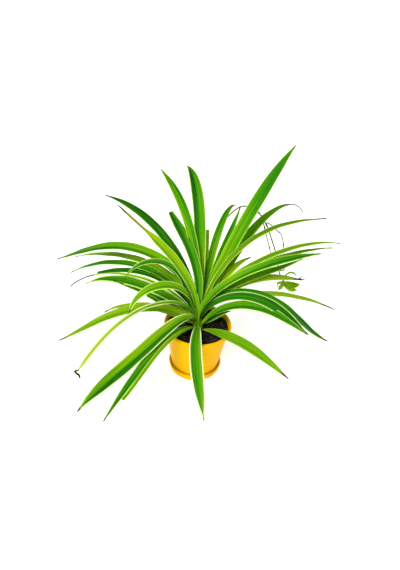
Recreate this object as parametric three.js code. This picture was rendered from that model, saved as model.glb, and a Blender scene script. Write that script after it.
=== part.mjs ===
// A potted spider plant: a yellow pot on its saucer, the potting mix, a crown of clasped leaf
// bases, long arching leaves, and one runner that carries a small plantlet.
// Millimetres and degrees. +Z is up, and the front of the plant faces -Y. The origin is the
// centre of the saucer's underside.

import * as THREE from 'three';

// ---------------------------------------------------------------- driving dimensions

const GAP = 0.3; // running clearance between pieces that touch
const ROUND_SIDES = 48; // sides of every turned piece
const FACET_SLACK = 0.4; // how far a facetted round face may lie inside the true one
const DEG = Math.PI / 180;

const SAUCER = {
  height: 12, // floor to the top of the lip
  baseRadius: 41.5, // outside, where it stands
  lipRadius: 44, // outside, at the lip
  wall: 2.8,
  floor: 3,
  lipRound: 1.4, // radius of the rounded lip
};

const POT = {
  top: 90, // rim height over the ground
  rimRadius: 55, // a rim 110 mm across
  rimDepth: 8, // height of the rolled rim
  rimRound: 1.7, // radius of its rounded top edge
  shoulderRadius: 51.6, // body just below the rim
  footRadius: 38, // body where it stands in the saucer
  wall: 2.2,
  floor: 2.5,
  drainRadius: 6, // one drain hole in the middle of the floor
};

const CHAMFER = 1; // on the corners of the pot and the saucer

// The potting mix, with its lower corner bevelled and its top edge sunk a little at the wall.
const SOIL = { top: 82, clearance: 0.4, bevel: 1.4, edgeDrop: 1, edgeInset: 3 };

// The leaf bases clasp each other into a short blunt cone.
const CROWN = { radius: 12, height: 34, sides: 24 };

// The leaf lines start inside the crown, on a smaller half egg, each in its own direction.
const HEART = { radius: 8, height: 16 };

const LEAF = {
  stations: 12, // sections along one leaf
  lineSteps: 60, // steps in which its line is laid out
  footWidth: 2.8, // where it leaves the crown
  fullWidthAt: 0.33, // share of the length at which it is full width
  taperFrom: 0.45, // share of the length at which the tip starts to narrow
  taperPower: 2.2,
  thickness: 1.3, // at the midrib, near the crown
  foldAtFoot: 26, // each half is raised by this angle
  foldAtTip: 8,
  cutNarrowing: 0.3, // a leaf that was cut off has lost this much width at its end
  searchStep: 0.002, // share of the length by which its first visible section is looked for
};

// Each leaf: its name, the way it heads (0 is to the right, 90 to the back), how far it turns on
// its way, its slope over level at the foot, one third, two thirds and tip, its length, its full
// width, its tilt at the foot and at the tip, on which side of the half egg it stands and how
// high (90 is the top), and whether its end is cut off blunt.
const LEAVES = [
  ['leaf_back_1', 45, -6, [75, 60, 55, 42], 315, 19, [30, 30], [45, 80], false],
  ['leaf_back_2', 95, 18, [82, 69, 55, -17], 274, 18, [-10, -10], [95, 35], false],
  ['leaf_back_3', 116, 6, [80, 67, 33, 8], 280, 11.5, [-20, -20], [116, 85], false],
  ['leaf_back_4', 128, 0, [96, 80, 41, 31], 199, 12, [-15, -15], [150, 45], true],
  ['leaf_back_5', 141, 1, [80, 47, 14, -10], 295, 13, [-25, -25], [141, 80], false],
  ['leaf_back_6', 168, 0, [95, 63, 40, 41], 248, 14, [-35, -20], [248, 24], false],
  ['leaf_back_7', 84, 10, [50, 60, 60, 50], 146, 7, [5, 5], [84, 50], true],
  ['leaf_back_8', 81, -14, [65, 55, 36, -43], 235, 11, [0, 0], [81, 50], false],
  ['leaf_back_9', 57, 2, [60, 67, 55, 66], 195, 10, [20, 20], [57, 65], false],
  ['leaf_back_10', 46, 2, [56, 51, 12, -55], 325, 14, [20, 20], [46, 55], false],

  ['leaf_left_1', 161, 8, [85, 31, -17.5, -26], 321, 12, [-20, -20], [161, 75], false],
  ['leaf_left_2', 153, 5, [81, 18, -12, -31], 285, 10, [-5, -5], [153, 80], false],
  ['leaf_left_3', 161, 2, [76, 19, -17, -41], 280, 8.5, [-15, -15], [161, 75], false],
  ['leaf_left_4', 163, 0, [71, 27, -9, -28], 210, 10, [-15, -15], [163, 70], true],
  ['leaf_left_5', 169, 7, [66, 21, -10, -54], 250, 5, [-20, -20], [169, 65], false],
  ['leaf_left_6', 174, -1, [55, 24, 2, -44], 205, 13, [-15, -15], [174, 55], false],
  ['leaf_left_7', 177, 1, [52, 26, 18, 12], 150, 10, [-15, -15], [177, 50], false],
  ['leaf_left_8', 184, 1, [47, 27, 34, 26], 92, 9, [-20, -20], [184, 45], true],
  ['leaf_left_9', 181, 26, [54, 73, 20, -72], 200, 7, [-50, -50], [186, 70], false],
  ['leaf_left_10', 214, -10, [72, 55, -9, -93], 191, 13, [-30, -30], [214, 70], false],
  ['leaf_left_11', 200, -6, [43, 11, -24, -23], 240, 12, [-25, -25], [200, 45], false],
  ['leaf_left_12', 190, 0, [60, 14, 0, -45], 160, 7.5, [-25, -25], [190, 60], false],
  ['leaf_left_13', 212, 7, [71, 13, -32, -48], 258, 6.5, [-20, -20], [212, 70], false],
  ['leaf_left_14', 192, 0, [24, 34, 22, 10], 85, 9, [-20, -20], [192, 25], false],

  ['leaf_front_1', 229, 6, [60, -12, -9, -32], 258, 21, [-15, -15], [229, 60], false],
  ['leaf_front_2', 233, 12, [45, -3, -19, -20], 235, 10.5, [-15, -15], [234, -5], false],
  ['leaf_front_3', 241, -2, [36, 7, -21, -12], 195, 6.5, [-20, -20], [241, 5], true],
  ['leaf_front_4', 263, 30, [37, -7, -28, -54], 177, 19, [10, 10], [282, 6], false],
  ['leaf_front_5', 322, 0, [24, 11, -8, -14], 176, 12.5, [30, 30], [320, -4], false],

  ['leaf_right_1', 345, 4, [64, 31, -15, -26], 202, 12, [25, 25], [332, 20], false],
  ['leaf_right_2', 345, -2, [32, 49, 44, 23], 61, 10, [25, 25], [350, 30], false],
  ['leaf_right_3', 348, 3, [71, 27, -26, -30], 220, 10.5, [45, 45], [348, 75], false],
  ['leaf_right_4', 2, 2, [85, 4, -40, -23], 280, 12, [20, 20], [2, 85], false],
  ['leaf_right_5', 9, -4, [68, 13.5, -10, -30], 248, 8, [10, 10], [9, 80], false],
  ['leaf_right_6', 13, 0, [103, 43, 18, 1], 254, 13, [30, 30], [290, 28], false],
  ['leaf_right_7', 17, 5, [79, 33, 15, 21], 205, 11, [15, 15], [17, 75], false],
  ['leaf_right_8', 20, 7, [83, 34, 8, -22], 300, 7.5, [25, 25], [20, 75], false],
  ['leaf_right_9', 25, -8, [60, 32, -1, -13], 200, 10, [15, 15], [25, 60], false],
  ['leaf_right_10', 33, -8, [74, 25, 5, -10], 285, 8, [15, 15], [33, 65], false],
  ['leaf_right_11', 34, -9, [77, 52, 12, -3], 305, 7, [10, 10], [34, 85], false],
  ['leaf_right_12', 37, 0, [78, 55, 38, -7], 140, 10, [20, 20], [37, 70], false],
];

// The runner leaves the crown between two back leaves, arches over and hangs down at the right.
const RUNNER = {
  radius: 1.2,
  sideRadius: 0.6,
  sides: 8,
  main: [
    [7, 13, 110],
    [5, 25.9, 118.5],
    [8.4, 44.5, 142.3],
    [13.3, 66.6, 169.2],
    [19.8, 90.4, 197.2],
    [27.1, 111.8, 217.2],
    [48.2, 118.7, 242],
    [65.5, 116.9, 248.1],
    [82.7, 115.1, 240.4],
    [97, 104, 226],
    [109, 101, 202],
    [121, 98, 174],
    [131, 92, 142],
    [140, 91, 126.7],
  ],
  sideLeft: [
    [90.8, 105.6, 231],
    [92.5, 105.3, 227],
    [95.5, 105, 219],
    [101, 105, 203],
    [108, 104, 185],
    [113, 105, 169],
    [115, 103, 160],
  ],
  sideRight: [
    [98.6, 104.1, 228],
    [103, 108, 224.5],
    [109, 112, 219],
    [120, 116, 208],
    [128, 116, 200],
    [134, 113, 180],
    [135, 106, 167],
  ],
};

const PLANTLET = {
  centre: [141, 91, 120],
  radius: 4,
  height: 6,
  leafThickness: 0.9,
  leafFootWidth: 1.6,
  leafClearance: 0.5, // between its middle and its leaves
};

// The plantlet's leaves, in the same form as the leaves above.
const PLANTLET_LEAVES = [
  ['plantlet_leaf_1', 5, 10, [0, -14, 0, 14], 31, 11, [35, 35], [0, 0], false],
  ['plantlet_leaf_2', 0, 0, [75, 80, 10, -80], 42, 3.5, [20, 20], [0, 0], false],
  ['plantlet_leaf_3', 190, -10, [30, 0, -70, -120], 17, 4.5, [-20, -20], [0, 0], false],
  ['plantlet_leaf_4', 235, 0, [-10, -30, -30, -10], 15, 7, [-20, -20], [0, 0], false],
  ['plantlet_leaf_5', 325, 20, [-14, -20, -2, 14], 27, 10, [20, 20], [0, 0], false],
];

// ---------------------------------------------------------------- materials

function matt(colour, roughness) {
  return new THREE.MeshStandardMaterial({ color: colour, roughness, metalness: 0 });
}

const potPlastic = () => matt('#f7b20a', 0.38);
const saucerPlastic = () => matt('#f9b510', 0.38);
const pottingMix = () => matt('#1d1712', 0.95);
const leafGreen = () => matt('#5d9a12', 0.45);
const leafBase = () => matt('#a7bf62', 0.5);
const runnerSkin = () => matt('#7d8850', 0.55);
const youngLeaf = () => matt('#86ad1c', 0.5);

// ---------------------------------------------------------------- turned pieces

// Points of an arc about (r, z), from one angle to another, both ends included.
function arc(r, z, radius, from, to, steps) {
  const points = [];
  for (let i = 0; i <= steps; i += 1) {
    const angle = (from + ((to - from) * i) / steps) * DEG;
    points.push([r + radius * Math.cos(angle), z + radius * Math.sin(angle)]);
  }
  return points;
}

// A profile of [radius, height] points turned about the upright axis.
function turned(profile, sides = ROUND_SIDES) {
  const points = profile.map(([r, z]) => new THREE.Vector2(r, z));
  const geometry = new THREE.LatheGeometry(points, sides);
  geometry.rotateX(Math.PI / 2);
  return geometry;
}

function saucerGeometry() {
  const { height, baseRadius, lipRadius, wall, floor, lipRound } = SAUCER;
  const lipCentre = [lipRadius - lipRound, height - lipRound];
  return turned([
    [0, 0],
    [baseRadius - CHAMFER, 0],
    [baseRadius, CHAMFER],
    ...arc(...lipCentre, lipRound, 0, 180, 5),
    [baseRadius + CHAMFER - wall, floor + CHAMFER],
    [baseRadius - wall, floor],
    [0, floor],
  ]);
}

const POT_FOOT = SAUCER.floor + GAP;
const RIM_UNDERSIDE = POT.top - POT.rimDepth;
const STEP_FOOT = RIM_UNDERSIDE - 2; // where the wall starts to widen into the rim, inside

// Outer radius of the pot's body at a height, and the inner radius behind it.
function bodyRadius(z) {
  const share = (z - POT_FOOT) / (RIM_UNDERSIDE - POT_FOOT);
  return POT.footRadius + (POT.shoulderRadius - POT.footRadius) * share;
}

function innerRadius(z) {
  return bodyRadius(z) - POT.wall;
}

function potGeometry() {
  const { top, rimRadius, rimRound, floor, drainRadius } = POT;
  const floorTop = POT_FOOT + floor;
  const innerLip = rimRadius - 2 * rimRound;
  const profile = [
    [drainRadius, POT_FOOT],
    [bodyRadius(POT_FOOT) - CHAMFER, POT_FOOT],
    [bodyRadius(POT_FOOT + CHAMFER), POT_FOOT + CHAMFER],
    [bodyRadius(RIM_UNDERSIDE), RIM_UNDERSIDE],
    ...arc(rimRadius - CHAMFER, RIM_UNDERSIDE + CHAMFER, CHAMFER, -90, 0, 2),
    ...arc(rimRadius - rimRound, top - rimRound, rimRound, 0, 180, 6),
    [innerLip, RIM_UNDERSIDE + CHAMFER],
    [innerRadius(STEP_FOOT), STEP_FOOT],
    [innerRadius(floorTop + CHAMFER), floorTop + CHAMFER],
    [innerRadius(floorTop) - CHAMFER, floorTop],
    [drainRadius, floorTop],
    [drainRadius, POT_FOOT],
  ];
  return turned(profile);
}

function soilGeometry() {
  const { top, clearance, bevel, edgeDrop, edgeInset } = SOIL;
  const bottom = POT_FOOT + POT.floor + GAP;
  const radius = (z) => innerRadius(z) - clearance;
  return turned([
    [0, bottom],
    [radius(bottom) - bevel, bottom],
    [radius(bottom + bevel), bottom + bevel],
    [radius(STEP_FOOT), STEP_FOOT],
    [radius(top - edgeDrop), top - edgeDrop],
    [innerRadius(top) - edgeInset, top],
    [0, top],
  ]);
}

// The crown is half an egg that stands on the potting mix.
function crownGeometry() {
  const base = SOIL.top + GAP;
  const profile = [[0, base]];
  const steps = 8;
  for (let i = 0; i <= steps; i += 1) {
    const angle = (90 * i * DEG) / steps;
    profile.push([
      i === steps ? 0 : CROWN.radius * Math.cos(angle),
      base + (CROWN.height - GAP) * Math.sin(angle),
    ]);
  }
  return turned(profile, CROWN.sides);
}

// ---------------------------------------------------------------- leaves

// The cubic curve through four values at 0, 1/3, 2/3 and 1.
function cubicThrough([a, b, c, d], s) {
  const u = 3 * s;
  return (
    (a * (1 - u) * (2 - u) * (3 - u)) / 6 +
    (b * u * (2 - u) * (3 - u)) / 2 -
    (c * u * (1 - u) * (3 - u)) / 2 +
    (d * u * (1 - u) * (2 - u)) / 6
  );
}

// Unit vectors at a share s of a leaf: along it, across it to its left, and out of its upper face.
function leafAxes(leaf, s) {
  const [, heading, turn, slopes, , , tilts] = leaf;
  const slope = cubicThrough(slopes, s) * DEG;
  const way = (heading + turn * s) * DEG;
  const along = new THREE.Vector3(
    Math.cos(slope) * Math.cos(way),
    Math.cos(slope) * Math.sin(way),
    Math.sin(slope),
  );
  const level = new THREE.Vector3(-Math.sin(way), Math.cos(way), 0);
  const up = new THREE.Vector3().crossVectors(along, level);
  const tilt = THREE.MathUtils.lerp(tilts[0], tilts[1], THREE.MathUtils.smoothstep(s, 0.4, 0.7)) * DEG;
  const across = level.clone().multiplyScalar(Math.cos(tilt)).addScaledVector(up, Math.sin(tilt));
  const out = up.clone().multiplyScalar(Math.cos(tilt)).addScaledVector(level, -Math.sin(tilt));
  return { along, across, out };
}

// Points of the leaf's midrib, laid out step by step from its start.
function leafLine(leaf, start) {
  const length = leaf[4];
  const line = [start.clone()];
  for (let i = 0; i < LEAF.lineSteps; i += 1) {
    const { along } = leafAxes(leaf, (i + 0.5) / LEAF.lineSteps);
    line.push(line[i].clone().addScaledVector(along, length / LEAF.lineSteps));
  }
  return line;
}

function pointOnLine(line, s) {
  const place = Math.min(s, 1) * (line.length - 1);
  const index = Math.min(Math.floor(place), line.length - 2);
  return line[index].clone().lerp(line[index + 1], place - index);
}

// Width at a share s of a leaf whose visible part starts at the share first.
function leafWidth(leaf, s, first, footWidth) {
  const [, , , , , width, , , cut] = leaf;
  const grown = Math.min((s - first) / LEAF.fullWidthAt, 1);
  const growing = footWidth + (width - footWidth) * Math.sin((grown * Math.PI) / 2);
  if (cut) return growing * (1 - LEAF.cutNarrowing * s * s);
  const late = Math.max(0, (s - LEAF.taperFrom) / (1 - LEAF.taperFrom));
  return growing * (1 - late ** LEAF.taperPower);
}

// A leaf as a closed solid. Each section is a shallow V of four points: left edge, upper keel,
// right edge, lower keel. A grown tip ends in a point, and a cut one in a flat end.
function leafGeometry(leaf, start, isInside, thickness, footWidth) {
  const cut = leaf[8];
  const line = leafLine(leaf, start);
  let first = 0;
  while (isInside(pointOnLine(line, first)) && first < 0.5) first += LEAF.searchStep;
  const positions = [];
  const triangles = [];
  const sections = cut ? LEAF.stations + 1 : LEAF.stations;
  for (let i = 0; i < sections; i += 1) {
    const s = first + ((1 - first) * i) / LEAF.stations;
    const middle = pointOnLine(line, s);
    const { across, out } = leafAxes(leaf, s);
    const half = leafWidth(leaf, s, first, footWidth) / 2;
    const fold = THREE.MathUtils.lerp(LEAF.foldAtFoot, LEAF.foldAtTip, s) * DEG;
    const depth = (thickness * (1 - 0.5 * s)) / 2;
    const place = (sideways, upwards) => {
      const point = middle.clone().addScaledVector(across, sideways).addScaledVector(out, upwards);
      positions.push(point.x, point.y, point.z);
    };
    place(half * Math.cos(fold), half * Math.sin(fold));
    place(0, depth);
    place(-half * Math.cos(fold), half * Math.sin(fold));
    place(0, -depth);
    if (i > 0) {
      for (let side = 0; side < 4; side += 1) {
        const a = 4 * (i - 1) + side;
        const b = 4 * (i - 1) + ((side + 1) % 4);
        triangles.push(a, b, a + 4, b, b + 4, a + 4);
      }
    }
  }
  triangles.push(0, 3, 1, 1, 3, 2);
  const last = 4 * (sections - 1);
  if (cut) {
    triangles.push(last, last + 1, last + 3, last + 1, last + 2, last + 3);
  } else {
    const tip = line[line.length - 1];
    positions.push(tip.x, tip.y, tip.z);
    for (let side = 0; side < 4; side += 1) {
      triangles.push(last + side, last + ((side + 1) % 4), last + 4);
    }
  }
  const geometry = new THREE.BufferGeometry();
  geometry.setAttribute('position', new THREE.Float32BufferAttribute(positions, 3));
  geometry.setIndex(triangles);
  geometry.computeVertexNormals();
  return geometry;
}

// A big leaf starts inside the crown and shows from just outside it.
function bigLeafGeometry(leaf) {
  const [side, rise] = leaf[7].map((angle) => angle * DEG);
  const start = new THREE.Vector3(
    HEART.radius * Math.cos(rise) * Math.cos(side),
    HEART.radius * Math.cos(rise) * Math.sin(side),
    SOIL.top + HEART.height * Math.sin(rise),
  );
  const clear = GAP + FACET_SLACK;
  const inCrown = (point) => {
    const r = Math.hypot(point.x, point.y) / (CROWN.radius + clear);
    const z = (point.z - SOIL.top) / (CROWN.height + clear);
    return r * r + z * z < 1;
  };
  return leafGeometry(leaf, start, inCrown, LEAF.thickness, LEAF.footWidth);
}

function plantletLeafGeometry(leaf) {
  const centre = new THREE.Vector3(...PLANTLET.centre);
  const inPlantlet = (point) => {
    const r = Math.hypot(point.x - centre.x, point.y - centre.y) / (PLANTLET.radius + PLANTLET.leafClearance);
    const z = (point.z - centre.z) / (PLANTLET.height + PLANTLET.leafClearance);
    return r * r + z * z < 1;
  };
  return leafGeometry(leaf, centre, inPlantlet, PLANTLET.leafThickness, PLANTLET.leafFootWidth);
}

// ---------------------------------------------------------------- runner and plantlet

// A round stem along a smooth curve through hand-placed points.
function stemGeometry(route, radius) {
  const curve = new THREE.CatmullRomCurve3(route.map((p) => new THREE.Vector3(...p)));
  const section = new THREE.Shape();
  for (let i = 0; i < RUNNER.sides; i += 1) {
    const angle = (2 * Math.PI * i) / RUNNER.sides;
    const corner = [radius * Math.cos(angle), radius * Math.sin(angle)];
    if (i === 0) section.moveTo(...corner);
    else section.lineTo(...corner);
  }
  section.closePath();
  const steps = Math.min(40, Math.round(curve.getLength() / 7));
  return new THREE.ExtrudeGeometry(section, { steps, bevelEnabled: false, extrudePath: curve });
}

function plantletGeometry() {
  const geometry = new THREE.SphereGeometry(1, 12, 8);
  geometry.rotateX(Math.PI / 2);
  geometry.scale(PLANTLET.radius, PLANTLET.radius, PLANTLET.height);
  return geometry;
}

// ---------------------------------------------------------------- the plant

const plant = new THREE.Group();

function addPiece(name, geometry, material, position = [0, 0, 0]) {
  const mesh = new THREE.Mesh(geometry, material);
  mesh.name = name;
  mesh.position.set(...position);
  plant.add(mesh);
}

addPiece('saucer', saucerGeometry(), saucerPlastic());
addPiece('pot', potGeometry(), potPlastic());
addPiece('potting_mix', soilGeometry(), pottingMix());
addPiece('crown', crownGeometry(), leafBase());
for (const leaf of LEAVES) {
  addPiece(leaf[0], bigLeafGeometry(leaf), leafGreen());
}
addPiece('runner', stemGeometry(RUNNER.main, RUNNER.radius), runnerSkin());
addPiece('runner_side_left', stemGeometry(RUNNER.sideLeft, RUNNER.sideRadius), runnerSkin());
addPiece('runner_side_right', stemGeometry(RUNNER.sideRight, RUNNER.sideRadius), runnerSkin());
addPiece('plantlet', plantletGeometry(), youngLeaf(), PLANTLET.centre);
for (const leaf of PLANTLET_LEAVES) {
  addPiece(leaf[0], plantletLeafGeometry(leaf), youngLeaf());
}

export default plant;
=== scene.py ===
# A potted spider plant: yellow pot and saucer, dark potting mix, striped arching leaves,
# and a thin runner that hangs a small plantlet behind the leaves at the right.
import math
import bpy
import numpy as np
from mathutils import Matrix, Vector


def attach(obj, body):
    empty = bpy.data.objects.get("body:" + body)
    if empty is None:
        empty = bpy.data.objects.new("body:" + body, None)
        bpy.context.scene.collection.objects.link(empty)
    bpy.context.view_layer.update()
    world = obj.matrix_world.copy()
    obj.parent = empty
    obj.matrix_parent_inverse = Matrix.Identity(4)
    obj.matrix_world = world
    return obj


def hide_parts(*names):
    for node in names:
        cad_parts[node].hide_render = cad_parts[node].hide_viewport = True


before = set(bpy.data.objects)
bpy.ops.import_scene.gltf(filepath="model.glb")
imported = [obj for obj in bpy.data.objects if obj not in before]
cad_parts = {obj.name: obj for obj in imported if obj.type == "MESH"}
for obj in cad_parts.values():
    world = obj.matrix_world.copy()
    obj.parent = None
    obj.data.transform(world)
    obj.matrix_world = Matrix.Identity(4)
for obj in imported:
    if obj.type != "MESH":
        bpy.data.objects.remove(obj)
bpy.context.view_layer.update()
mm = 0.001


# the photograph looks down on the plant from a little under a metre away
cameraView = {
    "target": (-2, 0, 165.5),  # mm, a point above the pot
    "distance": 850,  # mm
    "lookDown": 35,  # degrees under level
    "lean": 5,  # the picture is turned by this many degrees
    "lens": 34.7, "sensor": 36,  # mm, the sensor along the picture's longer side
    "clipEnd": 50,  # m
}


def addCamera(view):
    # back from the target along the look, with the picture turned about that line
    down = math.radians(view["lookDown"])
    back = Vector((0, -math.cos(down), math.sin(down)))
    right = Vector((1, 0, 0))
    up = right.cross(-back)
    lean = math.radians(view["lean"])
    leanRight = right * math.cos(lean) + up * math.sin(lean)
    leanUp = up * math.cos(lean) - right * math.sin(lean)
    data = bpy.data.cameras.new("photoCamera")
    data.lens = view["lens"]
    data.sensor_fit = "AUTO"
    data.sensor_width = view["sensor"]
    data.clip_end = view["clipEnd"]
    camera = bpy.data.objects.new("photoCamera", data)
    turn = Matrix((leanRight, leanUp, back)).transposed().to_4x4()
    place = (Vector(view["target"]) + back * view["distance"]) * mm
    camera.matrix_world = Matrix.Translation(place) @ turn
    bpy.context.scene.collection.objects.link(camera)
    bpy.context.scene.camera = camera


addCamera(cameraView)
print("camera placed")


def linear(hexColour):
    # sRGB hex to the linear colour that the shaders take
    channels = [int(hexColour[i:i + 2], 16) / 255 for i in (1, 3, 5)]
    return tuple(c / 12.92 if c <= 0.04045 else ((c + 0.055) / 1.055) ** 2.4 for c in channels) + (1.0,)


def addNode(tree, kind, settings=None, values=None, links=None):
    # settings are the node's own choices, values go on its sockets, links come from other nodes' outputs
    new = tree.nodes.new(kind)
    for name, value in (settings or {}).items():
        setattr(new, name, value)
    for name, value in (values or {}).items():
        new.inputs[name].default_value = value
    for name, source in (links or {}).items():
        tree.links.new(source, new.inputs[name])
    return new


def newMaterial(name):
    material = bpy.data.materials.new(name)
    material.use_nodes = True
    tree = material.node_tree
    tree.nodes.clear()
    return material, tree


def finishMaterial(tree, values, links):
    shader = addNode(tree, "ShaderNodeBsdfPrincipled", values=values, links=links)
    addNode(tree, "ShaderNodeOutputMaterial", links={"Surface": shader.outputs[0]})


def setRamp(node, stops):
    # stops are (position, hex colour) pairs from left to right
    ramp = node.color_ramp
    while len(ramp.elements) < len(stops):
        ramp.elements.new(0.5)
    for element, (position, colour) in zip(ramp.elements, stops):
        element.position = position
        element.color = linear(colour)


leafFinish = {
    # tone is a place along the greens, from 0 to 1
    "greens": [(0.0, "#004a0a"), (0.3, "#1c7806"), (0.55, "#589c06"), (0.8, "#8eb80c"), (1.0, "#b2d016")],
    "paleEdge": [(0.0, "#a4dc34"), (0.5, "#ccf060"), (1.0, "#f6fcd0")],
    "dryTip": [(0.0, "#7c961a"), (0.3, "#727022"), (0.6, "#403a24"), (1.0, "#15130f")],
    "underside": "#6fa02a", "undersideShare": 0.45,
    "veinSpacing": 0.9, "veinTone": 0.03,  # mm between the lengthwise veins, coarser than real so they show
    "streakSize": 1.8, "streakStretch": 0.018, "streakTone": 0.68,  # mm across a lengthwise streak
    "cloudSize": 14, "cloudStretch": 0.22, "cloudTone": 0.22,  # mm across a patch of another green
    "keelWidth": 1.3, "keelTone": 0.12,  # mm; the keel catches the light in the fold
    "edgeStreaks": 1.1, "edgeSoftness": 0.42,  # mm, how unevenly and how softly the pale edge ends
    "haloWidth": 1.6, "haloShare": 0.25,  # mm; the green beside the edge is paler too
    "dryStreaks": 0.25, "dryCover": 2.2,
    "ridgeHeight": 0.12, "veinRidge": 0.25,  # mm; how high the veins stand beside the streaks
    "roughness": 0.42, "cloudRoughness": 0.14,
    "gloss": "#bcff61",
}


def makeLeafMaterial(finish):
    # living leaf blade under a thin waxy skin: satin, with fine lengthwise veins, pale edges
    # where the green is missing, and tips that have dried to brown
    material, tree = newMaterial("livingLeafBlade")
    found = {name: addNode(tree, "ShaderNodeAttribute", {"attribute_name": name}).outputs["Fac"]
             for name in ("fromRib", "fromEdge", "along", "seed", "tone",
                          "edgeWidth", "pale", "under", "dry")}
    place = addNode(tree, "ShaderNodeCombineXYZ",
                    links={"X": found["fromRib"], "Y": found["along"], "Z": found["seed"]})
    # patches and streaks are noise that is drawn out along the leaf
    for name, stretch, size, detail, roughness in (
            ("clouds", finish["cloudStretch"], finish["cloudSize"], 3.0, 0.5),
            ("streaks", finish["streakStretch"], finish["streakSize"], 2.0, 0.6)):
        stretched = addNode(tree, "ShaderNodeMapping", values={"Scale": (1.0, stretch, 1.0)},
                            links={"Vector": place.outputs[0]})
        found[name] = addNode(tree, "ShaderNodeTexNoise",
                              values={"Scale": 1 / size, "Detail": detail, "Roughness": roughness},
                              links={"Vector": stretched.outputs[0]}).outputs["Fac"]
    # a row is a result, what is done, and with what: numbers or earlier results
    sums = [
        ("veinTurn", "MULTIPLY", "fromRib", 2 * math.pi / finish["veinSpacing"]),
        ("veins", "SINE", "veinTurn"),
        ("offKeel", "ABSOLUTE", "fromRib"),
        ("keel", "MULTIPLY_ADD", "offKeel", -1 / finish["keelWidth"], 1.0),
        ("cloudShift", "SUBTRACT", "clouds", 0.5),
        ("streakShift", "SUBTRACT", "streaks", 0.5),
        ("cloudyTone", "MULTIPLY_ADD", "cloudShift", finish["cloudTone"], "tone"),
        ("streakyTone", "MULTIPLY_ADD", "streakShift", finish["streakTone"], "cloudyTone"),
        ("veinedTone", "MULTIPLY_ADD", "veins", finish["veinTone"], "streakyTone"),
        ("leafTone", "MULTIPLY_ADD", "keel", finish["keelTone"], "veinedTone"),
        ("border", "MULTIPLY_ADD", "streakShift", finish["edgeStreaks"], "edgeWidth"),
        ("pastBorder", "SUBTRACT", "fromEdge", "border"),
        ("paleShare", "MULTIPLY_ADD", "pastBorder", -1 / finish["edgeSoftness"], 0.5),
        ("halo", "MULTIPLY_ADD", "pastBorder", -1 / finish["haloWidth"], 1.0),
        ("haloShare", "MULTIPLY", "halo", finish["haloShare"]),
        ("underShare", "MULTIPLY", "under", finish["undersideShare"]),
        ("dryness", "MULTIPLY_ADD", "streakShift", finish["dryStreaks"], "dry"),
        ("dryShare", "MULTIPLY", "dryness", finish["dryCover"]),
        ("ridges", "MULTIPLY_ADD", "veins", finish["veinRidge"], "streaks"),
        ("roughness", "MULTIPLY_ADD", "clouds", finish["cloudRoughness"], finish["roughness"]),
    ]
    kept = ("keel", "leafTone", "paleShare", "halo", "dryness", "dryShare")  # between 0 and 1
    for name, operation, *inputs in sums:
        found[name] = addNode(tree, "ShaderNodeMath", {"operation": operation, "use_clamp": name in kept},
                              {i: item for i, item in enumerate(inputs) if not isinstance(item, str)},
                              {i: found[item] for i, item in enumerate(inputs) if isinstance(item, str)}
                              ).outputs[0]
    for name, source, stops in (("green", "leafTone", "greens"), ("paleGreen", "pale", "paleEdge"),
                                ("dried", "dryness", "dryTip")):
        ramp = addNode(tree, "ShaderNodeValToRGB", links={"Fac": found[source]})
        setRamp(ramp, finish[stops])
        found[name] = ramp.outputs[0]
    # each layer over the last one; where no layer is named, it is the underside's own green
    for name, share, below, above in (("besideEdge", "haloShare", "green", "paleGreen"),
                                      ("blade", "paleShare", "besideEdge", "paleGreen"),
                                      ("bothFaces", "underShare", "blade", None),
                                      ("colour", "dryShare", "bothFaces", "dried")):
        sources = {"Factor": found[share], 6: found[below]}
        if above:
            sources[7] = found[above]
        found[name] = addNode(tree, "ShaderNodeMix", {"data_type": "RGBA"},
                              {7: linear(finish["underside"])}, sources).outputs[2]
    bump = addNode(tree, "ShaderNodeBump", values={"Strength": 0.35, "Distance": finish["ridgeHeight"] * mm},
                   links={"Height": found["ridges"]})
    finishMaterial(tree,
                   {"IOR": 1.45, "Subsurface Weight": 0.12, "Subsurface Scale": 1.2 * mm,
                    "Subsurface Radius": (0.7, 1.0, 0.1), "Specular IOR Level": 0.3,
                    "Specular Tint": linear(finish["gloss"])},
                   {"Base Color": found["colour"], "Roughness": found["roughness"],
                    "Normal": bump.outputs[0]})
    return material


potFinish = {
    "body": "#ecb600", "shade": "#e5ab00", "gloss": "#ffdd61",
    "driftSize": 45.45,  # mm across a slow change from body to shade
    "grain": 0.35, "grainHeight": 0.03,  # mm, the mould's spark-eroded grain, coarser than real so it shows
    "rubSize": 16.667,  # mm across a rubbed patch
    "roughness": 0.33, "polished": 0.05, "dulled": 0.12,  # how far the rubs shift the roughness
    "glow": "#ffae00", "paintedGlowStrength": 0.05,  # painted glow: a faint orange emission that lifts the shaded plastic
}


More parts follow.
